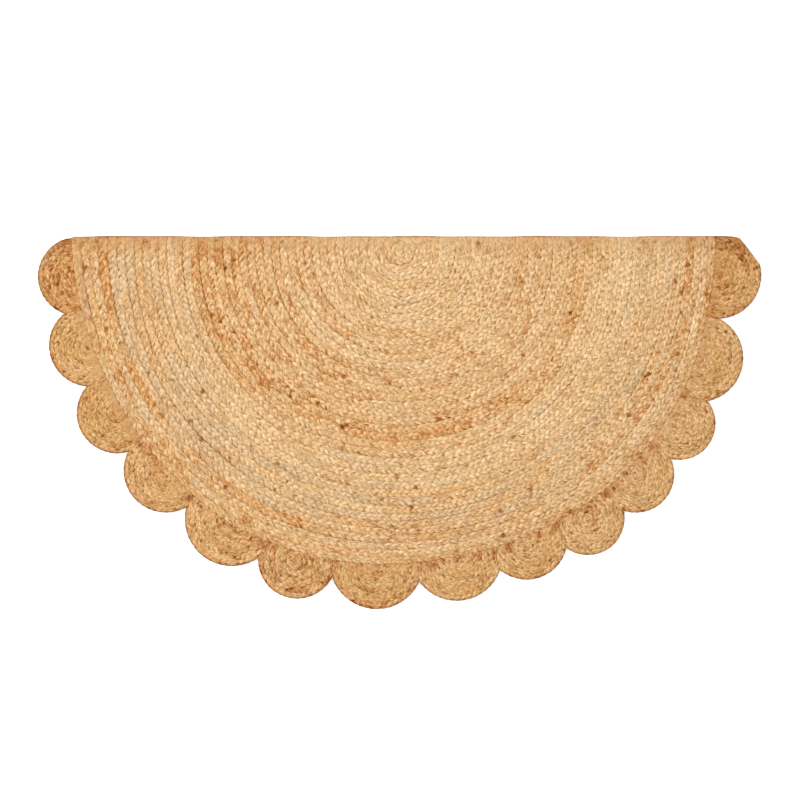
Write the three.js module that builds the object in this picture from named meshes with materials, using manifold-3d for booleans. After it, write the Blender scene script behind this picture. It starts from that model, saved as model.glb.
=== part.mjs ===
// Half-moon braided jute rug with a scalloped border, lying flat.
//
// One long flat braid is wound into a half disc and sewn row to row, and its straight side is
// turned under as a hem. Fourteen small coils of a thinner braid are sewn along the round rim.
// Millimetres, +Z up, +Y towards the straight side. The rug lies on z = 0.

import * as THREE from 'three';
import { mergeVertices } from 'three/addons/utils/BufferGeometryUtils.js';
import Module from 'manifold-3d';

// Half disc: a coil of flat braid, with a groove between its rows.
const DISC_ROWS = 40;
const DISC_ROW_WIDTH = 13.3;
const DISC_THICKNESS = 9;
const DISC_GROOVE_DEPTH = 2;
const DISC_SIDES = 60;
const DISC_RADIUS = DISC_ROWS * DISC_ROW_WIDTH;

// The rim is worked by hand and is not quite round. One row for each place on it. bearing: degrees
// round the rim, from the left end of the straight side through the front. reach: distance from the
// middle of the half disc. Rows of braid further in than STEADY_RADIUS are true arcs.
const STEADY_RADIUS = 33 * DISC_ROW_WIDTH;
const RIM = [
  { bearing: 0, reach: 542 },
  { bearing: 12, reach: 535 },
  { bearing: 25, reach: 530 },
  { bearing: 45, reach: 530 },
  { bearing: 57, reach: 534 },
  { bearing: 70, reach: 529 },
  { bearing: 85, reach: 524 },
  { bearing: 100, reach: 517 },
  { bearing: 112, reach: 519 },
  { bearing: 130, reach: 524 },
  { bearing: 155, reach: 525 },
  { bearing: 168, reach: 520 },
  { bearing: 180, reach: 522 },
];

// Straight side: how far it lies past the middle of the coil, and its rolled hem.
const STRAIGHT_SIDE = 22;
const HEM_ROLL_WIDTH = 9;
const HEM_ROLL_FOOT = 2;
const HEM_ROLL_START = 3;
const HEM_ROLL_STEPS = 3;

// Scallops: coils of a thinner braid, butted against the rim and against each other.
const SCALLOP_ROW_WIDTH = 8.8;
const SCALLOP_THICKNESS = 6;
const SCALLOP_GROOVE_DEPTH = 1.2;
const SCALLOP_SIDES = 28;
const SEAM_GAP = 0.3;

// One row for each scallop. bearing: as for the rim. seat: distance of its middle from the middle of
// the half disc.
const SCALLOPS = [
  { bearing: 4.9, seat: 536, radius: 65 },
  { bearing: 17.3, seat: 537, radius: 68 },
  { bearing: 30.1, seat: 541, radius: 67 },
  { bearing: 43.4, seat: 533, radius: 70 },
  { bearing: 58.1, seat: 527, radius: 77.5 },
  { bearing: 71.7, seat: 541, radius: 65 },
  { bearing: 85.7, seat: 520, radius: 77.5 },
  { bearing: 100.5, seat: 515, radius: 76 },
  { bearing: 113.6, seat: 523, radius: 68 },
  { bearing: 124.9, seat: 543, radius: 61 },
  { bearing: 136.3, seat: 540, radius: 63.5 },
  { bearing: 148.0, seat: 545, radius: 60 },
  { bearing: 160.0, seat: 527, radius: 73 },
  { bearing: 175.3, seat: 528, radius: 72 },
];

// The outer corner of the last scallop is turned under along a straight fold. facing: degrees from +X
// to the way the fold faces. reach: its distance from the middle of the half disc.
const CORNER_FOLD = { facing: 37.8, reach: 455 };

// Cutting shapes reach this far past what they cut.
const CUT_MARGIN = 1;
const CUT_REACH = 700;

const DISC_JUTE = { color: 0xdfb883, roughness: 0.9, metalness: 0 };
const SCALLOP_JUTE = { color: 0xcf9a5e, roughness: 0.9, metalness: 0 };

const wasm = await Module();
wasm.setup();

// A closed solid from a geometry: shared corners are welded and collapsed triangles dropped.
function solidFrom(geometry) {
  const bare = geometry.clone();
  bare.deleteAttribute('normal');
  bare.deleteAttribute('uv');
  const welded = mergeVertices(bare);
  const corners = welded.index.array;
  const triVerts = [];
  for (let i = 0; i < corners.length; i += 3) {
    const [a, b, c] = corners.slice(i, i + 3);
    if (a !== b && b !== c && c !== a) triVerts.push(a, b, c);
  }
  return new wasm.Manifold(new wasm.Mesh({
    numProp: 3,
    vertProperties: welded.attributes.position.array,
    triVerts: Uint32Array.from(triVerts),
  }));
}

function geometryFrom(solid) {
  const { vertProperties, triVerts } = solid.getMesh();
  const geometry = new THREE.BufferGeometry();
  geometry.setAttribute('position', new THREE.BufferAttribute(vertProperties, 3));
  geometry.setIndex(new THREE.BufferAttribute(triVerts, 1));
  return geometry;
}

// A turned shape about +Z from a profile of (radius, height) points.
function turned(profile, sides) {
  return new THREE.LatheGeometry(profile, sides).rotateX(Math.PI / 2);
}

// A flat-bottomed coil of braid: each row is a crest between two grooves, and the outermost row
// bulges halfway up, as a soft edge does.
function coil(radius, rowWidth, thickness, grooveDepth, sides) {
  const rows = Math.round(radius / rowWidth);
  const pitch = radius / rows;
  const profile = [
    new THREE.Vector2(0, 0),
    new THREE.Vector2(radius - pitch / 3, 0),
    new THREE.Vector2(radius, thickness / 2),
  ];
  for (let row = rows - 1; row >= 0; row -= 1) {
    profile.push(new THREE.Vector2((row + 0.5) * pitch, thickness));
    profile.push(new THREE.Vector2(row * pitch, thickness - grooveDepth));
  }
  return turned(profile, sides);
}

// How far the rim reaches at a bearing. Past its ends, which are cut away, the nearer end counts.
function rimReach(bearing) {
  const place = bearing < -90 ? bearing + 360 : bearing;
  const next = RIM.findIndex((row) => row.bearing >= place);
  if (next < 0) return RIM.at(-1).reach;
  if (next === 0) return RIM[0].reach;
  const [from, to] = [RIM[next - 1], RIM[next]];
  const share = (place - from.bearing) / (to.bearing - from.bearing);
  return from.reach + share * (to.reach - from.reach);
}

// Draws the outer rows of a round out or in to the rim.
function drawnToRim(geometry) {
  const places = geometry.attributes.position;
  for (let i = 0; i < places.count; i += 1) {
    const x = places.getX(i);
    const y = places.getY(i);
    const radius = Math.hypot(x, y);
    const share = Math.max(0, (radius - STEADY_RADIUS) / (DISC_RADIUS - STEADY_RADIUS));
    const bearing = THREE.MathUtils.radToDeg(Math.atan2(-y, -x));
    const scale = radius ? 1 + (share * (rimReach(bearing) - DISC_RADIUS)) / radius : 1;
    places.setXY(i, x * scale, y * scale);
  }
  return geometry;
}

// Everything on the rug's side of the straight side, with the hem's rolled top and lifted foot.
function insideStraightSide() {
  const section = new THREE.Shape();
  section.moveTo(-CUT_REACH, -CUT_MARGIN);
  section.lineTo(STRAIGHT_SIDE - HEM_ROLL_FOOT - CUT_MARGIN, -CUT_MARGIN);
  section.lineTo(STRAIGHT_SIDE, HEM_ROLL_FOOT);
  for (let step = 0; step <= HEM_ROLL_STEPS; step += 1) {
    const turn = (step / HEM_ROLL_STEPS) * (Math.PI / 2);
    const inward = HEM_ROLL_WIDTH * (1 - Math.cos(turn));
    const rise = (DISC_THICKNESS - HEM_ROLL_START) * Math.sin(turn);
    section.lineTo(STRAIGHT_SIDE - inward, HEM_ROLL_START + rise);
  }
  section.lineTo(STRAIGHT_SIDE - HEM_ROLL_WIDTH - CUT_MARGIN, DISC_THICKNESS + CUT_MARGIN);
  section.lineTo(-CUT_REACH, DISC_THICKNESS + CUT_MARGIN);
  const prism = new THREE.ExtrudeGeometry(section, { depth: 2 * CUT_REACH, bevelEnabled: false });
  prism.translate(0, 0, -CUT_REACH);
  const alongX = new THREE.Matrix4().makeBasis(
    new THREE.Vector3(0, 1, 0),
    new THREE.Vector3(0, 0, 1),
    new THREE.Vector3(1, 0, 0),
  );
  return solidFrom(prism.applyMatrix4(alongX));
}

// The middle of a scallop's coil, seen from above.
function middleOf({ bearing, seat }) {
  const turn = THREE.MathUtils.degToRad(180 + bearing);
  return new THREE.Vector2(seat * Math.cos(turn), seat * Math.sin(turn));
}

// What a scallop gives up to a neighbour: all that lies past the line where the two round coils
// meet, less half of the seam between them.
function beyondSeam(scallop, neighbour) {
  const middle = middleOf(scallop);
  const across = middleOf(neighbour).sub(middle);
  const distance = across.length();
  const toSeam = (distance ** 2 + scallop.radius ** 2 - neighbour.radius ** 2) / (2 * distance);
  const block = new THREE.BoxGeometry(CUT_REACH, 2 * CUT_REACH, CUT_REACH);
  block.translate(toSeam - SEAM_GAP / 2 + CUT_REACH / 2, 0, 0);
  block.rotateZ(across.angle());
  block.translate(middle.x, middle.y, 0);
  return solidFrom(block);
}

// What the folded corner gives up: all that lies past the fold.
function beyondFold() {
  const block = new THREE.BoxGeometry(CUT_REACH, 2 * CUT_REACH, CUT_REACH);
  block.translate(CORNER_FOLD.reach + CUT_REACH / 2, 0, 0);
  block.rotateZ(THREE.MathUtils.degToRad(CORNER_FOLD.facing));
  return solidFrom(block);
}

// The half disc's own round, one seam wider, which the scallops are cut back to.
function rimWithSeam() {
  const radius = DISC_RADIUS + SEAM_GAP;
  const top = DISC_THICKNESS + CUT_MARGIN;
  const round = turned([
    new THREE.Vector2(0, -CUT_MARGIN),
    new THREE.Vector2(radius, -CUT_MARGIN),
    new THREE.Vector2(radius, top),
    new THREE.Vector2(0, top),
  ], DISC_SIDES);
  return solidFrom(drawnToRim(round));
}

function jutePiece(name, solid, look) {
  const piece = new THREE.Mesh(geometryFrom(solid), new THREE.MeshStandardMaterial(look));
  piece.name = name;
  return piece;
}

const straightSide = insideStraightSide();
const rim = rimWithSeam();
const rug = new THREE.Group();

const disc = coil(DISC_RADIUS, DISC_ROW_WIDTH, DISC_THICKNESS, DISC_GROOVE_DEPTH, DISC_SIDES);
const halfDisc = solidFrom(drawnToRim(disc)).intersect(straightSide);
rug.add(jutePiece('half_disc', halfDisc, DISC_JUTE));

SCALLOPS.forEach((scallop, index) => {
  const middle = middleOf(scallop);
  const round = coil(
    scallop.radius, SCALLOP_ROW_WIDTH, SCALLOP_THICKNESS, SCALLOP_GROOVE_DEPTH, SCALLOP_SIDES,
  );
  round.rotateZ(middle.angle()).translate(middle.x, middle.y, 0);
  let solid = solidFrom(round).subtract(rim).intersect(straightSide);
  for (const neighbour of [SCALLOPS[index - 1], SCALLOPS[index + 1]]) {
    if (neighbour) solid = solid.subtract(beyondSeam(scallop, neighbour));
  }
  if (index === SCALLOPS.length - 1) solid = solid.subtract(beyondFold());
  const name = `scallop_${String(index + 1).padStart(2, '0')}`;
  rug.add(jutePiece(name, solid, SCALLOP_JUTE));
});

// The frame's origin is under the middle of the rug's outline.
const middle = new THREE.Box3().setFromObject(rug).getCenter(new THREE.Vector3());
rug.position.set(-middle.x, -middle.y, 0);

export default rug;
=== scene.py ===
# Half-moon braided jute rug with a scalloped border, seen flat from above.
# The rug is put together as its maker does it: the half disc is wound from flat braid and its
# straight side turned under, then small coils of a thinner braid are sewn on round the rim.
import math

import bpy
import numpy as np
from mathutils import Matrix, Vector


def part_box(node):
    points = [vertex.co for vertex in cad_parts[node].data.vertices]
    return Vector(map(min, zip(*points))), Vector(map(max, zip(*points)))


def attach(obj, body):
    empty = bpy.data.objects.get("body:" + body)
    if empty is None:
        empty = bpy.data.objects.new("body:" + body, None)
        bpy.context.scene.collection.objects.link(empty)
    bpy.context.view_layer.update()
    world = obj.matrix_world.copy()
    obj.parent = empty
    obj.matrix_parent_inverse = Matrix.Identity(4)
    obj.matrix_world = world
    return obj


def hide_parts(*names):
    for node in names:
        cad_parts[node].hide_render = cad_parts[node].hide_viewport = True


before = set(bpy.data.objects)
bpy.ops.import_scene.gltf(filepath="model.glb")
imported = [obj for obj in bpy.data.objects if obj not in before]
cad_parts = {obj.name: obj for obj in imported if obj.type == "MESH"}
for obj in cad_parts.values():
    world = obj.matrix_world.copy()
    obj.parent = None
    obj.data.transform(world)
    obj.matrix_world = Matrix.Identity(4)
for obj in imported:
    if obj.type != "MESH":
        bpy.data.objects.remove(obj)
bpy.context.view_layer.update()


# Half disc: the way its flat braid is wound
# One flat braid of three jute strands is wound row by row and sewn edge to edge.
# Each strand swings from edge to edge of its row, over its neighbour on the way out and under
# it on the way back, which gives the rows their small V-shaped leaves.
MM = 0.001
DISC_ROWS = 40
DISC_ROW_WIDTH = 13.3 * MM
DISC_RADIUS = DISC_ROWS * DISC_ROW_WIDTH
disc_low, disc_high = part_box("half_disc")
DISC_THICKNESS = disc_high[2]
STRAIGHT_SIDE = disc_high[1]
STRANDS_IN_BRAID = 3
STRAND_SIDES = 8
STRAND_SQUARENESS = 0.55

# Shares of the row's width and thickness that set how a strand swings, lifts and fills out.
# The rows overlap like shingles: each leans, its inner edge up.
# The rows lie open, with a groove between them, at the left end and close up towards the right.
SWING_SHARE = (0.304, 0.325)
EDGE_LIFT = (0.06, 0.10)
ROW_LEAN = (0.09, 0.07)
LIFT_SHARE = 0.11
LIFT_ROUNDING = 0.4
STRAND_WIDTH_SHARE = 0.59
STRAND_HEIGHT_SHARE = 0.64
FILL_OUT = 0.06

# Hand work is uneven: the pitch of the leaves, the line of a row and the size of a strand vary, each
# by so much and over so many repeats of the braid.
PITCH_DRIFT, DRIFT_REPEATS = 2.2, 4
LINE_SWAY, SWAY_REPEATS = 0.10, 3
SIZE_UNEVEN, UNEVEN_REPEATS = 0.22, 0.5

# Even the shortest row is made in so many steps.
LEAST_STEPS = 8


def smooth_noise(draw, places, spacing):
    """Random values from 0 to 1, one every spacing along places, joined smoothly."""
    steps = (places - places.min()) / spacing
    knots = draw.random(int(steps.max()) + 2)
    whole = np.floor(steps).astype(int)
    part = steps - whole
    part = part * part * (3 - 2 * part)
    return knots[whole] * (1 - part) + knots[whole + 1] * part


def ease(value, start, end):
    """0 before start, 1 after end, smooth between."""
    part = np.clip((value - start) / (end - start), 0, 1)
    return part * part * (3 - 2 * part)


def tube(points, half_width, half_height):
    """Rings of points round a path, each a flattened round square to the path and level across it."""
    run = np.gradient(points, axis=0)
    run /= np.linalg.norm(run, axis=1, keepdims=True)
    level = np.cross(run, (0, 0, 1))
    level /= np.linalg.norm(level, axis=1, keepdims=True)
    upright = np.cross(level, run)
    turn = (np.arange(STRAND_SIDES) + 0.5) * (2 * math.pi / STRAND_SIDES)
    across = half_width[:, None] * np.sign(np.cos(turn)) * np.abs(np.cos(turn)) ** STRAND_SQUARENESS
    rise = half_height[:, None] * np.sign(np.sin(turn)) * np.abs(np.sin(turn)) ** STRAND_SQUARENESS
    return points[:, None] + level[:, None] * across[..., None] + upright[:, None] * rise[..., None]


def arc_row(middle, radius, start, end, step):
    """A row's run: its points from above, the directions out of its coil, and the way along it."""
    count = max(int(radius * (end - start) / step), LEAST_STEPS) + 1
    angle = np.linspace(start, end, count)
    outward = np.stack([np.cos(angle), np.sin(angle)], 1)
    return middle + radius * outward, outward, radius * (angle - start)


def braid_strands(row, width, thickness, repeat, closed, draw):
    """The three strands of one row of braid: for each its rings and the way along it."""
    plan, outward, along = row
    swing_share = np.interp(closed, (0, 1), SWING_SHARE)
    edge_lift = np.interp(closed, (0, 1), EDGE_LIFT)
    lean = np.interp(closed, (0, 1), ROW_LEAN)
    drift = PITCH_DRIFT * (smooth_noise(draw, along, DRIFT_REPEATS * repeat) - 0.5)
    sway = LINE_SWAY * width * (smooth_noise(draw, along, SWAY_REPEATS * repeat) - 0.5)
    start = draw.random() * 2 * math.pi
    for number in range(STRANDS_IN_BRAID):
        phase = 2 * math.pi * (along / repeat + number / STRANDS_IN_BRAID) + start + drift
        uneven = 1 + SIZE_UNEVEN * (smooth_noise(draw, along, UNEVEN_REPEATS * repeat) - 0.5)
        swing = width * swing_share * np.sin(phase)
        over = np.sin(2 * phase)
        over = over * math.hypot(1, LIFT_ROUNDING) / np.hypot(over, LIFT_ROUNDING)
        lift = thickness * LIFT_SHARE * over * uneven - lean * swing
        lift += thickness * edge_lift * (np.sin(phase) ** 2 - 0.5)
        flat = plan + outward * (swing + sway)[:, None]
        points = np.column_stack([flat, thickness / 2 + lift])
        fill = 1 - FILL_OUT * np.cos(4 * phase)
        half_width = width * STRAND_WIDTH_SHARE / 2 * fill * uneven
        half_height = thickness * STRAND_HEIGHT_SHARE / 2 * uneven
        yield tube(points, half_width, half_height), along


# Half disc: its rim, worked by hand and not quite round
# One row for each place on it, as in the solids: degrees round the rim from the left end of the
# straight side through the front, and the distance from the middle of the half disc. The rows of
# braid further in than STEADY_RADIUS are true arcs.
STEADY_RADIUS = 33 * DISC_ROW_WIDTH
MIDDLE_TO_STRAIGHT_SIDE = 22 * MM
RIM = (
    {"bearing": 0, "reach": 542 * MM},
    {"bearing": 12, "reach": 535 * MM},
    {"bearing": 25, "reach": 530 * MM},
    {"bearing": 45, "reach": 530 * MM},
    {"bearing": 57, "reach": 534 * MM},
    {"bearing": 70, "reach": 529 * MM},
    {"bearing": 85, "reach": 524 * MM},
    {"bearing": 100, "reach": 517 * MM},
    {"bearing": 112, "reach": 519 * MM},
    {"bearing": 130, "reach": 524 * MM},
    {"bearing": 155, "reach": 525 * MM},
    {"bearing": 168, "reach": 520 * MM},
    {"bearing": 180, "reach": 522 * MM},
)
DISC_MIDDLE = np.array([disc_low[0] + RIM[0]["reach"], STRAIGHT_SIDE - MIDDLE_TO_STRAIGHT_SIDE])


def rim_reach(angle):
    """How far the rim reaches in a direction, given as an angle round the middle of the half disc."""
    bearing = (np.degrees(angle) - 90) % 360 - 90
    return np.interp(bearing, [p["bearing"] for p in RIM], [p["reach"] for p in RIM])


def past_rim(places):
    """How far out of the rim places lie, seen from above."""
    off = places - DISC_MIDDLE
    return np.linalg.norm(off, axis=-1) - rim_reach(np.arctan2(off[..., 1], off[..., 0]))


# Half disc: the hem of the straight side
# The ends of the rows are flattened, turned down over a round edge and stitched under, so the
# rows' grooves fade out just before the edge and the strands run over it to the floor.
HEM_FLATTENED = (16 * MM, 4 * MM)
HEM_FLATNESS = 0.92
HEM_TURNED = 12 * MM
HEM_WAVE = 0.9 * MM
HEM_WAVE_LENGTH = 230 * MM
HEM_WAVE_INWARD = 0.2
HEM_WAVES = ({"share": 0.6, "turns": 1, "lead": 1.1}, {"share": 0.4, "turns": 2.3, "lead": 0})

# It is worn: rubbed smooth and soiled brown, which is given for its left end, its middle and its right
# end.
# Along the very edge of the rug, here and round the scallops, shade is painted in as a darker brown, which
# is given for its two ends.
HEM_WORN = 45 * MM
HEM_SMOOTH = 0.45
HEM_BROWN = (0.42, 0.20, 0.34)
EDGE_SHADE_DEPTH = (0.95, 0.72)
EDGE_SHADE_WIDTH = 4.2 * MM


def pressed_flat(z, thickness, share):
    """Heights pressed by a share towards the top or the underside, whichever is nearer."""
    return np.where(z > thickness / 2, thickness - (thickness - z) * (1 - share), z * (1 - share))


def near_hem(rings):
    """1 along the straight side, fading to 0 further in, for each ring of a strand."""
    return ease(rings[:, :, 1].mean(1), STRAIGHT_SIDE - HEM_WORN, STRAIGHT_SIDE)


def hem_brownness(rings):
    """How brown each ring of a strand is by the straight side, which is soiled most at its ends."""
    places = (disc_low[0], DISC_MIDDLE[0], disc_high[0])
    return near_hem(rings) * np.interp(rings[:, :, 0].mean(1), places, HEM_BROWN)


def painted_edge_shade(points, inside):
    """The painted shade of points that lie so far inside the rug's outer edge, darkest on the left."""
    most = np.interp(points[..., 0], (disc_low[0], disc_high[0]), EDGE_SHADE_DEPTH)
    return most * (1 - ease(inside, 0, EDGE_SHADE_WIDTH))


def turn_hem(points, thickness):
    """Presses what lies near the straight side flatter and turns what lies past its roll down."""
    x, y, z = points[..., 0], points[..., 1], points[..., 2]
    sweep = 2 * math.pi * x / HEM_WAVE_LENGTH
    waves = sum(w["share"] * np.sin(w["turns"] * sweep + w["lead"]) for w in HEM_WAVES)
    line = STRAIGHT_SIDE - thickness + HEM_WAVE * (waves - HEM_WAVE_INWARD)
    flattened = ease(y, line - HEM_FLATTENED[0], line - HEM_FLATTENED[1])
    z = pressed_flat(z, thickness, HEM_FLATNESS * flattened)
    turn = np.clip((y - line) / HEM_TURNED, 0, 1) * math.pi / 2
    rolled = np.stack([x, line + z * np.sin(turn), z * np.cos(turn)], -1)
    flat = np.stack([x, y, z], -1)
    return np.where((y > line)[..., None], rolled, flat)


# Half disc: its forty rows
# The rows keep close to true arcs but wander a little together, and each lies a shade nearer to
# one neighbour than to the other. The outermost rows keep the rim round and lie down to the floor,
# and the left end of the last row is rubbed smooth where the scallops are sewn to it.
ROW_WANDER = 1.1 * MM
WANDERS = (
    {"share": 0.6, "turns": 2.6, "spread": 90 * MM},
    {"share": 0.4, "turns": 6.2, "spread": -55 * MM},
)
ROW_JITTER = 0.35 * MM
TRUE_FROM_ROW = 37
RIM_SHALLOWER = 0.2
RIM_FLATNESS = 0.75
PRESSED = 0.9
SMOOTHEST = 0.5
SMOOTH_LEFT_END = (0.02, 0.16)


def disc_row(number, step, jitter):
    """One row of the half disc, from the left end of the straight side to the right, and its width."""
    radius = (number + 0.5) * DISC_ROW_WIDTH
    reach = STRAIGHT_SIDE - DISC_THICKNESS + HEM_TURNED - DISC_MIDDLE[1]
    past = math.asin(min(reach / radius, 1))
    start, end = math.pi - past, 2 * math.pi + past
    plan, outward, along = arc_row(DISC_MIDDLE, radius, start, end, step)
    angle = start + along / radius
    stray = sum(w["share"] * np.sin(w["turns"] * angle + radius / w["spread"]) for w in WANDERS)
    free = 1 if number < TRUE_FROM_ROW else 0
    spread = (rim_reach(angle) - DISC_RADIUS) / (DISC_RADIUS - STEADY_RADIUS)
    outer = max(0, radius - STEADY_RADIUS)
    shift = free * (ROW_WANDER * stray + ROW_JITTER * jitter) + spread * outer
    width = DISC_ROW_WIDTH * (1 + spread * (outer > 0))
    return (plan + outward * shift[:, None], outward, along), width


def disc_thickness(number):
    """How thick a row of the half disc is: less in the last rows before the rim."""
    return DISC_THICKNESS * (1 - RIM_SHALLOWER * ease(number, TRUE_FROM_ROW - 1, DISC_ROWS - 1))


def rubbed_smooth(number, along):
    """How far a row is rubbed smooth, along it: 0 where its braid stands out."""
    most = SMOOTHEST if number == DISC_ROWS - 1 else 0
    return most * (1 - ease(along / along[-1], *SMOOTH_LEFT_END))


def press_inside_rim(rings):
    """Presses what the last row's strands reach past the rim back against it."""
    off = rings[..., :2] - DISC_MIDDLE
    over = np.maximum(past_rim(rings[..., :2]), 0) / np.linalg.norm(off, axis=-1)
    flat = rings[..., :2] - PRESSED * over[..., None] * off
    return np.concatenate([flat, rings[..., 2:]], -1)


# Half disc: the colours of its jute
# Jute of several batches was braided in: pale straw in the middle and again further out, warmer
# rows flecked with rust between them, most on the left, and greyer, mottled rows to the rim.
# One row for each band: its first row, how long its braid's repeat is, and how much honey, rust
# and grey its strands have, each at the left end of its rows and at the right end.
JUTE_BANDS = (
    {"row": 0, "repeat": 35 * MM, "honey": (0.38, 0.20), "rust": (0.14, 0.10), "grey": (0.15, 0.15)},
    {"row": 11, "repeat": 35 * MM, "honey": (0.46, 0.36), "rust": (0.32, 0.18), "grey": (0.15, 0.15)},
    {"row": 15, "repeat": 33 * MM, "honey": (0.48, 0.40), "rust": (0.40, 0.20), "grey": (0.15, 0.10)},
    {"row": 19, "repeat": 33 * MM, "honey": (0.52, 0.34), "rust": (0.42, 0.16), "grey": (0.15, 0.10)},
    {"row": 22, "repeat": 32 * MM, "honey": (0.60, 0.68), "rust": (0.48, 0.34), "grey": (0.15, 0.15)},
    {"row": 24, "repeat": 32 * MM, "honey": (0.64, 0.36), "rust": (0.55, 0.08), "grey": (0.15, 0.15)},
    {"row": 26, "repeat": 32 * MM, "honey": (0.44, 0.20), "rust": (0.16, 0.08), "grey": (0.35, 0.20)},
    {"row": 30, "repeat": 32 * MM, "honey": (0.64, 0.40), "rust": (0.30, 0.15), "grey": (0.50, 0.30)},
    {"row": 34, "repeat": 37 * MM, "honey": (0.68, 0.38), "rust": (0.40, 0.24), "grey": (0.70, 0.25)},
    {"row": 36, "repeat": 37 * MM, "honey": (0.95, 0.68), "rust": (0.52, 0.36), "grey": (0.40, 0.20)},
    {"row": 37, "repeat": 40 * MM, "honey": (0.68, 0.36), "rust": (0.38, 0.26), "grey": (0.50, 0.18)},
    {"row": 39, "repeat": 40 * MM, "honey": (0.60, 0.55), "rust": (0.28, 0.34), "grey": (0.25, 0.08)},
)

# A tone comes and goes with stretches of a row and with single leaves and flecks of a strand.
LEAF_LENGTH = 14 * MM
STRETCH_LENGTH = 60 * MM
STRETCH_HONEY, LEAF_HONEY = 0.5, 0.25
STRETCH_RUST, FLECK_RUST = 0.35, 0.65
STRETCH_GREY, LEAF_GREY = 0.65, 0.35
TONE_SOFTNESS = 0.24
RUST_DEPTH = 0.74
GREY_DEPTH = 0.65

# Specks of bark are left in the fibre, few where it is pale and more where it is rusty.
BARK_SHARE = (0.0005, 0.012)
BARK_LEAST = 0.75

# Shade is painted in as brown on low places between the strands, paler where the braid is rubbed smooth.
# The hem, the last row where it is rubbed smooth, and the scallops by the rim are browner too; by the rim
# this brown is partly painted shade of the thicker half disc beside them.
HOLLOW_SHADE_BELOW = 0.85
HOLLOW_SHADE_DEEPEST_BELOW = 0.45
HOLLOW_SHADE_DEPTH = 0.57
SMOOTH_LESS_SHADED = 0.8
HEM_HONEY = 0.10
RIM_HONEY = -0.05
RIM_WEAR_AND_SHADE = 0.25
LAST_ROW_BROWN = (0.12, 0.50)


def batches(along, draw):
    """How honey, rust and grey come and go along a row of braid, alike in its three strands."""
    return {tone: smooth_noise(draw, along, STRETCH_LENGTH) for tone in ("honey", "rust", "grey")}


def strand_tone(along, batch, shares, draw):
    """Honey, rust, grey and bark along a strand, from its shares, its row's batches and its own flecks."""
    leaf = smooth_noise(draw, along, LEAF_LENGTH)
    fleck = smooth_noise(draw, along, LEAF_LENGTH)
    honey = shares["honey"] + STRETCH_HONEY * (batch["honey"] - 0.5) + LEAF_HONEY * (leaf - 0.5)
    rust = STRETCH_RUST * batch["rust"] + FLECK_RUST * fleck
    least = 1 - shares["rust"]
    rust = ease(rust, least - TONE_SOFTNESS, least + TONE_SOFTNESS)
    grey = STRETCH_GREY * batch["grey"] + LEAF_GREY * leaf
    least = 1 - shares["grey"]
    grey = ease(grey, least - TONE_SOFTNESS, least + TONE_SOFTNESS)
    speck = draw.random(len(along)) < np.interp(rust, (0, 1), BARK_SHARE)
    speck |= np.roll(speck, 1)
    bark = np.where(speck, BARK_LEAST + (1 - BARK_LEAST) * draw.random(len(along)), shares["brown"])
    return np.column_stack([np.clip(honey, 0, 1), RUST_DEPTH * rust, GREY_DEPTH * grey, bark])


def painted_hollow_shade(rings, thickness, smooth):
    """Painted shade, as brown, on each point of a strand for lying deep: 0 on top, most low between the
    strands.

    Where the braid is rubbed smooth the hollows are filled, and less shade is painted there.
    """
    deep = 1 - ease(rings[..., 2] / thickness, HOLLOW_SHADE_DEEPEST_BELOW, HOLLOW_SHADE_BELOW)
    return HOLLOW_SHADE_DEPTH * deep * (1 - SMOOTH_LESS_SHADED * smooth[:, None])


# Half disc: its strands as meshes
# A strand is loosely spun, so its fibres run round it as well as along it. The strands of one part of
# the rug are made as one mesh, each closed at both ends, with two maps.
# First the turns of the fibres for each millimetre along a strand, and the turns between one strand
# and the next on the map yarn, so that no two are streaked alike. Then the faces that close a strand's
# ends, the patch of the map that they take, and the room left round the strips of the map OFBake.
SPIN = 1 / 70
STRAND_APART = 3
END_QUADS = ((0, 1, 2, 3), (0, 3, 4, 7), (4, 5, 6, 7))
END_PATCH = 0.2
STRIP_MARGIN = 0.06
MAP_MARGIN = 0.005
MAP_LENGTH = 0.98


def strand_faces(base, count):
    """The faces of a strand of so many rings whose points start at base: its walls, then its two ends."""
    index = base + np.arange(count * STRAND_SIDES).reshape(count, STRAND_SIDES)
    beside = np.roll(index, -1, axis=1)
    walls = np.stack([index[:-1], index[1:], beside[1:], beside[:-1]], -1).reshape(-1, 4)
    ends = [index[0, list(quad)] for quad in END_QUADS]
    ends += [index[-1, list(quad)[::-1]] for quad in END_QUADS]
    return np.concatenate([walls, np.array(ends)])


def strand_map(along):
    """For each corner of a strand's faces, the way along it and the part of a turn round it."""
    side = np.arange(STRAND_SIDES)
    here, there = along[:-1, None] + 0 * side, along[1:, None] + 0 * side
    low, high = side / STRAND_SIDES + 0 * here, (side + 1) / STRAND_SIDES + 0 * here
    way = np.stack([here, there, there, here], -1).reshape(-1)
    turn = np.stack([low, low, high, high], -1).reshape(-1)
    corners = 4 * len(END_QUADS)
    patch = np.tile([0, END_PATCH, END_PATCH, 0], 2 * len(END_QUADS)) * MM
    end_way = np.repeat([0, along[-1]], corners) + patch
    end_turn = np.tile([0, 0, END_PATCH, END_PATCH], 2 * len(END_QUADS))
    return np.concatenate([way, end_way]), np.concatenate([turn, end_turn])


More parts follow.
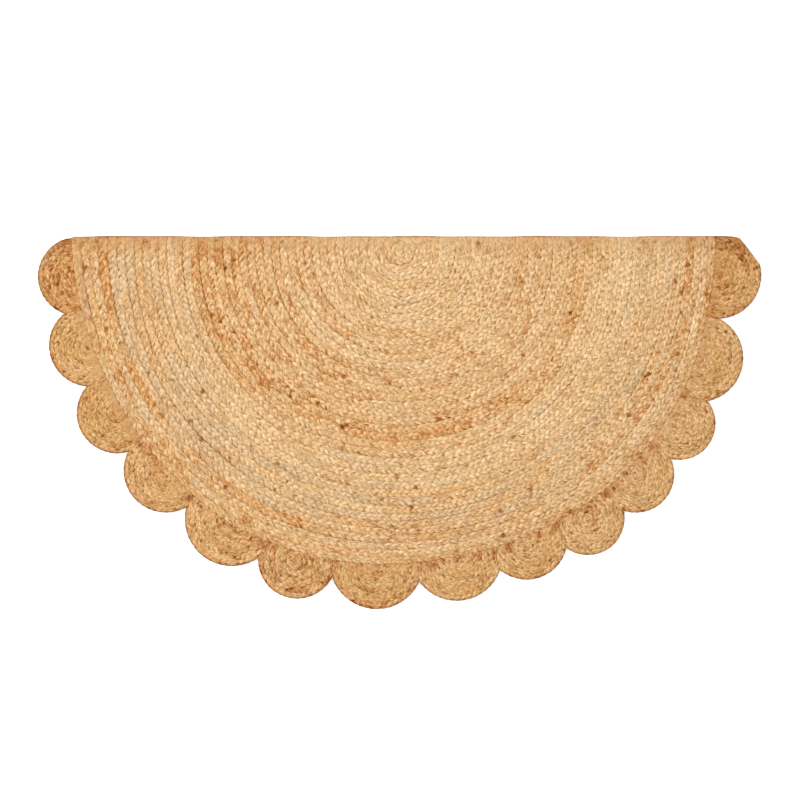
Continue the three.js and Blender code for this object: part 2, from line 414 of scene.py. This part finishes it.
def braid_object(name, strands, material):
    """One mesh object from strands of (rings, way along, tone, painted shade as brownness, smoothness),
    with two maps.

    The map yarn counts millimetres along a strand and turns round it, along the spun fibres.
    The map OFBake lays the strands side by side as strips.
    """
    longest = max(strand[1][-1] for strand in strands)
    points, faces, tones, rubbed, yarn, strips = [], [], [], [], [], []
    base = 0
    for number, (rings, along, tone, brown, smooth) in enumerate(strands):
        points.append(rings.reshape(-1, 3))
        faces.append(strand_faces(base, len(rings)))
        base += len(rings) * STRAND_SIDES
        shares = np.repeat(tone, STRAND_SIDES, axis=0)
        # The painted shade goes into the tone's fourth share, with the brown of bark and soil.
        shares[:, 3] = np.maximum(shares[:, 3], brown.reshape(-1))
        tones.append(shares)
        rubbed.append(np.repeat(smooth, STRAND_SIDES))
        way, turn = strand_map(along)
        yarn.append(np.column_stack([way / MM, turn + SPIN * way / MM + STRAND_APART * number]))
        strip = (number + STRIP_MARGIN + (1 - 2 * STRIP_MARGIN) * turn) / len(strands)
        strips.append(np.column_stack([MAP_MARGIN + MAP_LENGTH * way / longest, strip]))
    mesh = bpy.data.meshes.new(name)
    mesh.from_pydata(np.concatenate(points).tolist(), [], np.concatenate(faces).tolist())
    mesh.shade_smooth()
    for title, places in (("yarn", yarn), ("OFBake", strips)):
        layer = mesh.uv_layers.new(name=title)
        layer.data.foreach_set("uv", np.concatenate(places).astype(np.float32).ravel())
    tint = mesh.color_attributes.new("tone", "FLOAT_COLOR", "POINT")
    tint.data.foreach_set("color", np.concatenate(tones).astype(np.float32).ravel())
    smoothness = mesh.attributes.new("smooth", "FLOAT", "POINT")
    smoothness.data.foreach_set("value", np.concatenate(rubbed).astype(np.float32))
    mesh.materials.append(material)
    made = bpy.data.objects.new(name, mesh)
    bpy.context.scene.collection.objects.link(made)
    return made


# Half disc: its material, braided raw jute
# Retted bast fibre, combed and loosely spun: dull, slightly silky along the fibres, in tones from
# pale straw to honey, with rust flecks of bark and greyer stretches. Single fibres are far too
# fine to show, so the streaks are drawn as bundles of them.
FIBRE_WIDTH = 2.0
FIBRE_LENGTH = 9
FIBRE_NOISE = {"Scale": 1.0, "Detail": 3.0, "Roughness": 0.6}
FIBRE_BUMP = 0.9 * MM

# The streaks and the brown of bark, soil and painted shade multiply the fibre's colour: they are shares of
# red, green and blue.
STREAKS = (
    {"place": 0.0, "shade": (0.30, 0.22, 0.11, 1)},
    {"place": 0.24, "shade": (0.30, 0.22, 0.11, 1)},
    {"place": 0.36, "shade": (0.66, 0.59, 0.45, 1)},
    {"place": 0.64, "shade": (1.14, 1.14, 1.17, 1)},
)
STREAKS_RUBBED_OFF = 0.6
RUST_IN_STREAKS = {"From Min": 0.35, "From Max": 0.65, "To Min": 1.5, "To Max": 0.4}
SOIL_AND_SHADE_BROWN = (0.42, 0.21, 0.01, 1)
JUTE_SURFACE = {
    "Roughness": 0.82, "Specular IOR Level": 0.25, "Sheen Weight": 0.15, "Sheen Roughness": 0.5,
}
MIX_FACTOR, MIX_A, MIX_B, MIX_RESULT = 0, 6, 7, 2


def linear(code):
    """An sRGB hex colour as linear red, green, blue and alpha."""
    parts = [int(code[i:i + 2], 16) / 255 for i in (1, 3, 5)]
    return [c / 12.92 if c <= 0.04045 else ((c + 0.055) / 1.055) ** 2.4 for c in parts] + [1.0]


def add_node(tree, kind, inputs=None, **settings):
    """Adds a node. inputs gives each socket, by name or number, a value or a socket to link."""
    made = tree.nodes.new(kind)
    for name, value in settings.items():
        setattr(made, name, value)
    for key, value in (inputs or {}).items():
        if isinstance(value, bpy.types.NodeSocket):
            tree.links.new(value, made.inputs[key])
        else:
            made.inputs[key].default_value = value
    return made


def mix(tree, share, under, over, blend="MIX"):
    """Mixes two colours, each a value or a socket, by a share, and returns the socket of the result."""
    made = add_node(tree, "ShaderNodeMix", {
        MIX_FACTOR: share, MIX_A: under, MIX_B: over,
    }, data_type="RGBA", blend_type=blend)
    return made.outputs[MIX_RESULT]


def raw_jute(name, strand_round, straw, honey, rust, grey):
    """Spun jute fibre on strands of that girth in millimetres, tinted by the mesh's tone."""
    material = bpy.data.materials.new(name)
    material.use_nodes = True
    tree = material.node_tree
    places = add_node(tree, "ShaderNodeUVMap", uv_map="yarn")
    drawn_out = add_node(tree, "ShaderNodeMapping", {
        "Vector": places.outputs["UV"],
        "Scale": (1 / FIBRE_LENGTH, strand_round / FIBRE_WIDTH, 1),
    })
    noise = add_node(tree, "ShaderNodeTexNoise", {
        "Vector": drawn_out.outputs["Vector"], **FIBRE_NOISE,
    }, noise_dimensions="2D")
    fibre = noise.outputs["Fac"]

    # The fibre's own colours, with the rust deepest in the dark streaks.
    tone = add_node(tree, "ShaderNodeAttribute", attribute_name="tone")
    share = add_node(tree, "ShaderNodeSeparateColor", {"Color": tone.outputs["Color"]})
    barky = add_node(tree, "ShaderNodeMapRange", {"Value": fibre, **RUST_IN_STREAKS})
    rusted = add_node(tree, "ShaderNodeMath", {
        0: share.outputs["Green"], 1: barky.outputs["Result"],
    }, operation="MULTIPLY", use_clamp=True)
    colour = mix(tree, share.outputs["Red"], linear(straw), linear(honey))
    colour = mix(tree, rusted.outputs["Value"], colour, linear(rust))
    colour = mix(tree, share.outputs["Blue"], colour, linear(grey))

    # The streaks, fainter where the braid is rubbed smooth, and the brown of bark and soiled places and of
    # the shade painted in low places and along the edges.
    smooth = add_node(tree, "ShaderNodeAttribute", attribute_name="smooth")
    rough = add_node(tree, "ShaderNodeMath", {
        0: smooth.outputs["Fac"], 1: -STREAKS_RUBBED_OFF, 2: 1.0,
    }, operation="MULTIPLY_ADD")
    streak = add_node(tree, "ShaderNodeValToRGB", {"Fac": fibre})
    stops = streak.color_ramp.elements
    for stop in STREAKS[1:-1]:
        stops.new(stop["place"]).color = stop["shade"]
    for stop, made in ((STREAKS[0], stops[0]), (STREAKS[-1], stops[len(stops) - 1])):
        made.position = stop["place"]
        made.color = stop["shade"]
    colour = mix(tree, rough.outputs["Value"], colour, streak.outputs["Color"], "MULTIPLY")
    colour = mix(tree, tone.outputs["Alpha"], colour, SOIL_AND_SHADE_BROWN, "MULTIPLY")
    bump = add_node(tree, "ShaderNodeBump", {
        "Strength": rough.outputs["Value"], "Distance": FIBRE_BUMP, "Height": fibre,
    })
    surface = tree.nodes["Principled BSDF"]
    tree.links.new(colour, surface.inputs["Base Color"])
    tree.links.new(bump.outputs["Normal"], surface.inputs["Normal"])
    for title, value in JUTE_SURFACE.items():
        surface.inputs[title].default_value = value
    return material


disc_jute = raw_jute("disc braided raw jute", strand_round=16,
                     straw="#e7c699", honey="#dcae74", rust="#c8823a", grey="#d4b893")

# How finely a repeat of the braid is made, where along a row it closes up, and the parts that the rows
# are made in, so that no mesh is too heavy.
STEPS_IN_REPEAT = 12
CLOSING_UP = (0.45, 0.8)
DISC_PARTS = (("inner", 0, 20), ("middle", 20, 28), ("outer", 28, 34), ("rim", 34, DISC_ROWS))
DISC_SEED = 7
disc_draw = np.random.default_rng(DISC_SEED)
disc_jitter = 2 * disc_draw.random(DISC_ROWS) - 1


def disc_strands(number):
    """The strands of one row of the half disc, turned over the hem, as braid_object takes them."""
    band = [b for b in JUTE_BANDS if b["row"] <= number][-1]
    row, width = disc_row(number, band["repeat"] / STEPS_IN_REPEAT, disc_jitter[number])
    batch = batches(row[2], disc_draw)
    thickness = disc_thickness(number)
    way = row[2] / row[2][-1]
    honey, rust, grey = (np.interp(way, (0, 1), band[tone]) for tone in ("honey", "rust", "grey"))
    closed = ease(way, *CLOSING_UP)
    smooth = rubbed_smooth(number, row[2])
    last = number == DISC_ROWS - 1
    sewn_brown = last * np.interp(smooth, (0, 1), LAST_ROW_BROWN)
    for rings, along in braid_strands(row, width, thickness, band["repeat"], closed, disc_draw):
        hem = near_hem(rings)
        tone = strand_tone(along, batch, {
            "honey": honey + HEM_HONEY * hem + RIM_HONEY * smooth,
            "rust": rust,
            "grey": grey * (1 - hem),
            "brown": np.maximum(hem_brownness(rings), sewn_brown),
        }, disc_draw)
        rings[..., 2] = pressed_flat(rings[..., 2], thickness, RIM_FLATNESS * smooth[:, None])
        rings = turn_hem(press_inside_rim(rings), DISC_THICKNESS)
        # Shade is painted in along the hem's edge.
        edge = painted_edge_shade(rings, STRAIGHT_SIDE - HEM_WAVE - rings[..., 1])
        # Shade is painted in low between the strands, or the edge's shade where that is darker.
        brown = np.maximum(painted_hollow_shade(rings, thickness, smooth), edge)
        yield rings, along, tone, brown, np.maximum(smooth, HEM_SMOOTH * hem)


for part, first_row, end_row in DISC_PARTS:
    strands = [strand for number in range(first_row, end_row) for strand in disc_strands(number)]
    piece = braid_object("half_disc_braid_" + part, strands, disc_jute)
    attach(piece, "root")
    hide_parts("half_disc")


# Half disc: the filled middle of its rows
# Where the strands press together in the middle of a row their fibres fill it, so that no light
# comes through. It shows only as the browner ground between the strands.
GROUND_WIDTH_SHARE = 1.16
GROUND_HEIGHT_SHARE = 0.32
GROUND_STEP = 10 * MM
GROUND_SHARES = {"honey": 0.6, "rust": 0.3, "grey": 0.1, "brown": 0}
ground_jute = raw_jute("packed jute ground", strand_round=30,
                       straw="#cf9f60", honey="#c28e50", rust="#a5652d", grey="#b59768")


def ground_strand(row, width, thickness):
    """The filled middle of one row, as a flat strand that reaches into its neighbours."""
    plan, outward, along = row
    points = np.column_stack([plan, np.full(len(along), thickness / 2)])
    half_width = width * GROUND_WIDTH_SHARE / 2 * np.ones(len(along))
    half_height = np.full(len(along), thickness * GROUND_HEIGHT_SHARE / 2)
    return tube(points, half_width, half_height), along


ground = []
for number in range(DISC_ROWS):
    row, width = disc_row(number, GROUND_STEP, disc_jitter[number])
    width = width if number < DISC_ROWS - 1 else width / GROUND_WIDTH_SHARE
    thickness = disc_thickness(number)
    rings, along = ground_strand(row, width, thickness)
    hem = near_hem(rings)
    shares = {title: share * (1 - hem) for title, share in GROUND_SHARES.items()}
    tone = strand_tone(along, batches(along, disc_draw), shares, disc_draw)
    rings = turn_hem(rings, DISC_THICKNESS)
    smooth = rubbed_smooth(number, along)
    # Shade is painted in where the ground lies low between the strands.
    ground.append((rings, along, tone, painted_hollow_shade(rings, thickness, smooth), smooth))
disc_ground = braid_object("half_disc_ground", ground, ground_jute)
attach(disc_ground, "root")
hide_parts("half_disc")


# Scallops: small coils sewn along the rim
# A thinner braid of the same jute, browner and more tightly worked, is coiled into small rounds.
# They are sewn side by side to the rim, a little more than half of each showing, and lie lower.
SCALLOP_ROW_WIDTH = 8.8 * MM
SCALLOP_REPEAT = 29 * MM
SCALLOP_CLOSED = 0.6
SEAM_GAP = 0.3 * MM
RIM_FLATTENED = 24 * MM
RIM_SMOOTHED = (5 * MM, 24 * MM)
NOTCH_RUST = 0.35
NOTCH_RUSTED = 14 * MM
EDGE_PRESSED = 0.55
ARC_SAMPLES = 720
GROUND_STEPS_IN_ROW_WIDTH = 1.5

# One row for each scallop. Its place and size are as in the solids: degrees round the rim from the
# left end, the distance of its middle from the middle of the half disc, and its radius. Then how
# much honey and rust its strands have, how much more rust where it is sewn to the rim, and how far
# it is rubbed smooth there.
SCALLOPS = (
    {"bearing": 4.9, "seat": 536 * MM, "radius": 65 * MM,
     "honey": 0.80, "rust": 0.36, "rim_rust": 0.16, "rim_smooth": 0.4},
    {"bearing": 17.3, "seat": 537 * MM, "radius": 68 * MM,
     "honey": 0.65, "rust": 0.22, "rim_rust": -0.15, "rim_smooth": 1.0},
    {"bearing": 30.1, "seat": 541 * MM, "radius": 67 * MM,
     "honey": 0.70, "rust": 0.24, "rim_rust": -0.15, "rim_smooth": 1.0},
    {"bearing": 43.4, "seat": 533 * MM, "radius": 70 * MM,
     "honey": 0.55, "rust": 0.26, "rim_rust": 0.22, "rim_smooth": 0.5},
    {"bearing": 58.1, "seat": 527 * MM, "radius": 77.5 * MM,
     "honey": 0.55, "rust": 0.24, "rim_rust": 0.27, "rim_smooth": 0.3},
    {"bearing": 71.7, "seat": 541 * MM, "radius": 65 * MM,
     "honey": 0.55, "rust": 0.36, "rim_rust": 0.10, "rim_smooth": 0.4},
    {"bearing": 85.7, "seat": 520 * MM, "radius": 77.5 * MM,
     "honey": 0.65, "rust": 0.28, "rim_rust": 0.10, "rim_smooth": 0.4},
    {"bearing": 100.5, "seat": 515 * MM, "radius": 76 * MM,
     "honey": 0.52, "rust": 0.22, "rim_rust": 0.35, "rim_smooth": 0.4},
    {"bearing": 113.6, "seat": 523 * MM, "radius": 68 * MM,
     "honey": 0.45, "rust": 0.24, "rim_rust": 0.28, "rim_smooth": 0.3},
    {"bearing": 124.9, "seat": 543 * MM, "radius": 61 * MM,
     "honey": 0.54, "rust": 0.26, "rim_rust": 0.15, "rim_smooth": 0.4},
    {"bearing": 136.3, "seat": 540 * MM, "radius": 63.5 * MM,
     "honey": 0.45, "rust": 0.22, "rim_rust": 0.25, "rim_smooth": 0.5},
    {"bearing": 148.0, "seat": 545 * MM, "radius": 60 * MM,
     "honey": 0.45, "rust": 0.22, "rim_rust": 0.09, "rim_smooth": 0.6},
    {"bearing": 160.0, "seat": 527 * MM, "radius": 73 * MM,
     "honey": 0.50, "rust": 0.20, "rim_rust": 0.12, "rim_smooth": 0.6},
    {"bearing": 175.3, "seat": 528 * MM, "radius": 72 * MM,
     "honey": 0.80, "rust": 0.40, "rim_rust": 0.06, "rim_smooth": 0.5},
)

# The outer corner of the last scallop is turned under along a straight fold, as in the solids: degrees
# from +X to the way the fold faces, and its distance from the middle of the half disc.
CORNER_FOLD = {"facing": 37.8, "reach": 455 * MM}
SCALLOP_GREY = 0.15
scallop_jute = raw_jute("scallop braided raw jute", strand_round=8,
                        straw="#e0bb8a", honey="#cf9c5c", rust="#aa5f1a", grey="#c2a675")


def scallop_middle(scallop):
    """Where the middle of a scallop's coil lies, seen from above."""
    turn = math.radians(180 + scallop["bearing"])
    return DISC_MIDDLE + scallop["seat"] * np.array([math.cos(turn), math.sin(turn)])


def seam(scallop, other):
    """The direction from a scallop to its neighbour, and how far off the seam between them lies."""
    across = scallop_middle(other) - scallop_middle(scallop)
    distance = np.linalg.norm(across)
    to_seam = (distance**2 + scallop["radius"]**2 - other["radius"]**2) / (2 * distance)
    return across / distance, to_seam - SEAM_GAP / 2


def corner_fold(scallop):
    """The way the folded corner faces, and how far off the fold lies from the scallop's middle."""
    turn = math.radians(CORNER_FOLD["facing"])
    facing = np.array([math.cos(turn), math.sin(turn)])
    return facing, CORNER_FOLD["reach"] - (scallop_middle(scallop) - DISC_MIDDLE) @ facing


def shown_arc(scallop, radius, seams, margin):
    """The angles between which a row shows, with a margin past the rim and past its seams."""
    middle = scallop_middle(scallop)
    facing = math.radians(180 + scallop["bearing"])
    angle = facing + np.linspace(-math.pi, math.pi, ARC_SAMPLES)
    places = middle + radius * np.stack([np.cos(angle), np.sin(angle)], 1)
    shown = past_rim(places) > SEAM_GAP - margin
    for toward, to_seam in seams:
        shown &= (places - middle) @ toward < to_seam + margin
    found = np.flatnonzero(shown)
    return (angle[found[0]], angle[found[-1]]) if len(found) else None


def press_in_place(points, thickness, scallop, lines):
    """Presses what reaches past the rim, the outer edge or a seam back against it, and flat by the rim."""
    flat, z = points[..., :2], points[..., 2]
    z = pressed_flat(z, thickness, RIM_FLATNESS * (1 - ease(past_rim(flat), 0, RIM_FLATTENED)))
    inside = np.maximum(SEAM_GAP - past_rim(flat), 0)
    off = flat - DISC_MIDDLE
    flat = flat + off * (PRESSED * inside / np.linalg.norm(off, axis=-1))[..., None]
    off = flat - scallop_middle(scallop)
    reach = np.linalg.norm(off, axis=-1)
    flat = flat - off * (EDGE_PRESSED * np.maximum(1 - scallop["radius"] / reach, 0))[..., None]
    for toward, to_line in lines:
        past = np.maximum((flat - scallop_middle(scallop)) @ toward - to_line, 0)
        flat = flat - PRESSED * past[..., None] * toward
    return np.concatenate([flat, z[..., None]], -1)


def near_rim(rings):
    """1 against the rim, fading to 0 further out, for each ring of a strand."""
    return 1 - ease(past_rim(rings[:, :, :2].mean(1)), *RIM_SMOOTHED)


def near_notch(rings, scallop, seams):
    """1 where the seam to a neighbour meets the rim, fading to 0 away from it, for each ring."""
    off = rings[:, :, :2].mean(1) - scallop_middle(scallop)
    nearest = np.min([to_seam - off @ toward for toward, to_seam in seams], axis=0)
    return near_rim(rings) * (1 - ease(nearest, 0, NOTCH_RUSTED))


SCALLOP_SEED = 21
scallop_draw = np.random.default_rng(SCALLOP_SEED)


def scallop_strands(scallop, seams, lines, row, width, thickness):
    """The strands of one row of a scallop, pressed in place, as braid_object takes them."""
    batch = batches(row[2], scallop_draw)
    braid = braid_strands(row, width, thickness, SCALLOP_REPEAT, SCALLOP_CLOSED, scallop_draw)
    for rings, along in braid:
        hem, rim = near_hem(rings), near_rim(rings)
        smooth = scallop["rim_smooth"] * rim
        notch = near_notch(rings, scallop, seams)
        # By the rim the brown is partly wear and partly painted shade of the thicker half disc beside it.
        tone = strand_tone(along, batch, {
            "honey": scallop["honey"] + HEM_HONEY * hem + RIM_HONEY * smooth,
            "rust": scallop["rust"] + scallop["rim_rust"] * rim + NOTCH_RUST * notch,
            "grey": SCALLOP_GREY * (1 - rim),
            "brown": np.maximum(hem_brownness(rings), RIM_WEAR_AND_SHADE * smooth),
        }, scallop_draw)
        rings = press_in_place(turn_hem(rings, thickness), thickness, scallop, lines)
        # Shade is painted in along the outer edge and the hem's edge, and low between the strands.
        off = np.linalg.norm(rings[..., :2] - scallop_middle(scallop), axis=-1)
        inside = np.minimum(scallop["radius"] - off, STRAIGHT_SIDE - HEM_WAVE - rings[..., 1])
        brown = np.maximum(painted_hollow_shade(rings, thickness, smooth), painted_edge_shade(rings, inside))
        yield rings, along, tone, brown, smooth


def scallop_ground(scallop, lines, row, width, thickness):
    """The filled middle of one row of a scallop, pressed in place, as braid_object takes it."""
    rings, along = ground_strand(row, width, thickness)
    tone = strand_tone(along, batches(along, scallop_draw), GROUND_SHARES, scallop_draw)
    smooth = scallop["rim_smooth"] * near_rim(rings)
    rings = press_in_place(turn_hem(rings, thickness), thickness, scallop, lines)
    # Shade is painted in where the ground lies low between the strands.
    return rings, along, tone, painted_hollow_shade(rings, thickness, smooth), smooth


for index, scallop in enumerate(SCALLOPS):
    node_name = "scallop_%02d" % (index + 1)
    low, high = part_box(node_name)
    thickness = high[2]
    neighbours = [SCALLOPS[i] for i in (index - 1, index + 1) if 0 <= i < len(SCALLOPS)]
    seams = [seam(scallop, other) for other in neighbours]
    lines = seams + [corner_fold(scallop)] * (index == len(SCALLOPS) - 1)
    rows = round(scallop["radius"] / SCALLOP_ROW_WIDTH)
    pitch = scallop["radius"] / rows
    strands, ground, shown_length = [], [], 0
    for number in range(rows):
        radius = (number + 0.5) * pitch
        arc = shown_arc(scallop, radius, seams, pitch / 2)
        if arc is None or (arc[1] - arc[0]) * radius < pitch:
            continue
        row = arc_row(scallop_middle(scallop), radius, *arc, SCALLOP_REPEAT / STEPS_IN_REPEAT)
        strands += scallop_strands(scallop, seams, lines, row, pitch, thickness)
        row = arc_row(scallop_middle(scallop), radius, *arc, pitch / GROUND_STEPS_IN_ROW_WIDTH)
        width = pitch if number < rows - 1 else pitch / GROUND_WIDTH_SHARE
        ground.append(scallop_ground(scallop, lines, row, width, thickness))
        shown = shown_arc(scallop, radius, seams, 0)
        shown_length += radius * (shown[1] - shown[0]) if shown else 0
    piece = braid_object(node_name + "_braid", strands, scallop_jute)
    bed = braid_object(node_name + "_ground", ground, ground_jute)
    for made in (piece, bed):
        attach(made, "root")
        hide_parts(node_name)


# Floor: a plain pale sweep under the rug, not part of it
# White background paper, rolled out far past the edges of the view, with the rug laid on it.
# It glows a little, so that it stays white right up to the rug.
FLOOR_HALF = 60.0
FLOOR_DROP = 0.2 * MM
FLOOR_CORNERS = ((-1, -1), (1, -1), (1, 1), (-1, 1))
FLOOR_ROUGHNESS = 0.9
FLOOR_GLOW = 0.45
floor_mesh = bpy.data.meshes.new("floor")
floor_corners = [(x * FLOOR_HALF, y * FLOOR_HALF, -FLOOR_DROP) for x, y in FLOOR_CORNERS]
floor_mesh.from_pydata(floor_corners, [], [(0, 1, 2, 3)])
floor = bpy.data.objects.new("floor", floor_mesh)
bpy.context.scene.collection.objects.link(floor)
floor_paint = bpy.data.materials.new("white paper sweep")
floor_paint.use_nodes = True
paper = floor_paint.node_tree.nodes["Principled BSDF"]
paper.inputs["Base Color"].default_value = linear("#f4f4f4")
paper.inputs["Roughness"].default_value = FLOOR_ROUGHNESS
paper.inputs["Emission Color"].default_value = (1, 1, 1, 1)
paper.inputs["Emission Strength"].default_value = FLOOR_GLOW
floor_mesh.materials.append(floor_paint)


# Light: a bright even room and one broad soft lamp
# The room lights the rug from all round. The lamp stands up and to the left of the straight side,
# aimed at the rug's middle, and shades the grooves between the rows.
ROOM_LIGHT = 0.8
LAMP_PLACE = (-6.3, 1.8, 6.0)
LAMP_SIZE = 3.3
LAMP_POWER = 510
world = bpy.data.worlds.new("studio")
bpy.context.scene.world = world
world.use_nodes = True
room = world.node_tree.nodes["Background"]
room.inputs["Color"].default_value = (1, 1, 1, 1)
room.inputs["Strength"].default_value = ROOM_LIGHT
lamp_data = bpy.data.lights.new("softbox", "AREA")
lamp_data.energy = LAMP_POWER
lamp_data.size = LAMP_SIZE
lamp = bpy.data.objects.new("softbox", lamp_data)
lamp.location = LAMP_PLACE
bpy.context.scene.collection.objects.link(lamp)
lamp.rotation_euler = (-lamp.location).to_track_quat("-Z", "Y").to_euler()


# Camera: straight above, with a long lens
# It looks down from as high as it takes for the picture's width to fill it, with the rug placed in
# the picture as in the photograph, at the size that a pixel of it stands for.
PICTURE_PIXELS = 800
PIXEL_MM = 1.6575
PICTURE_WIDTH = PICTURE_PIXELS * PIXEL_MM * MM
DISC_TO_PICTURE_MIDDLE = (0.2 * MM, -250 * MM)
PICTURE_MIDDLE = DISC_MIDDLE + DISC_TO_PICTURE_MIDDLE
LENS, SENSOR = 85.0, 36.0
camera_data = bpy.data.cameras.new("camera")
camera_data.lens = LENS
camera_data.sensor_width = SENSOR
camera = bpy.data.objects.new("camera", camera_data)
camera.location = (*PICTURE_MIDDLE, PICTURE_WIDTH * LENS / SENSOR)
bpy.context.scene.collection.objects.link(camera)
bpy.context.scene.camera = camera
bpy.context.scene.view_settings.view_transform = "Standard"
